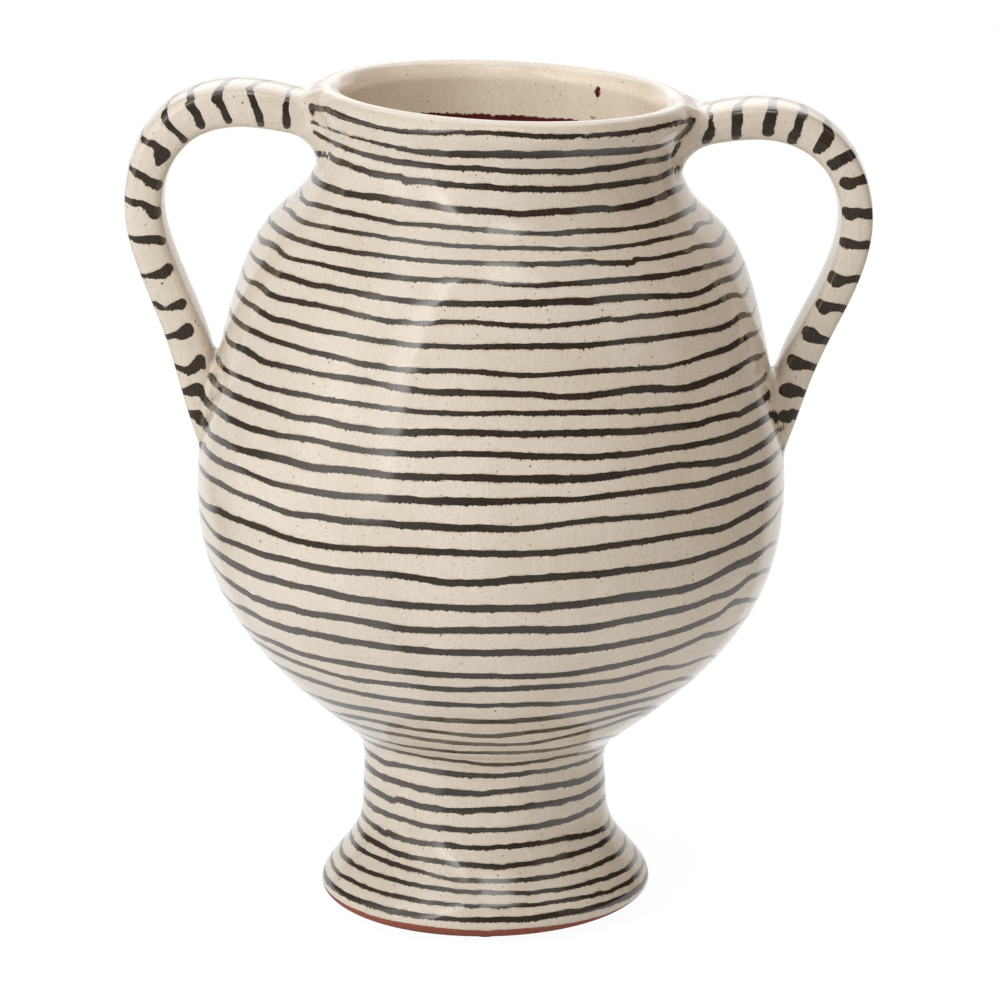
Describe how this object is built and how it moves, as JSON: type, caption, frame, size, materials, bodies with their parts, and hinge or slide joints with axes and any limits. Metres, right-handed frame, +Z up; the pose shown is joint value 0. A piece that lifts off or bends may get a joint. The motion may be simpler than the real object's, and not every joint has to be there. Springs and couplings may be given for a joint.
{
  "type": "two-handled footed jar",
  "caption": "Hand-thrown footed jar with an open rolled lip, hollow pedestal foot and two pulled strap handles.",
  "frame": {"origin": "on the foot's axis, on the surface that the jar stands on (the pads' undersides)", "axes": "+Z up, +X out through the right handle as the front is seen, -Y the front"},
  "size_m": [0.2552, 0.2036, 0.292],
  "materials": {
    "glazed_clay": "glossy cream glaze with brushed dark stripes",
    "pad_rubber": "matt"
  },
  "bodies": {
    "root": {"vessel_body": "glazed_clay", "pedestal_foot": "glazed_clay", "handle_right": "glazed_clay", "handle_left": "glazed_clay", "foot_pad_front": "pad_rubber", "foot_pad_right": "pad_rubber", "foot_pad_back": "pad_rubber", "foot_pad_left": "pad_rubber"}
  },
  "joints": []
}
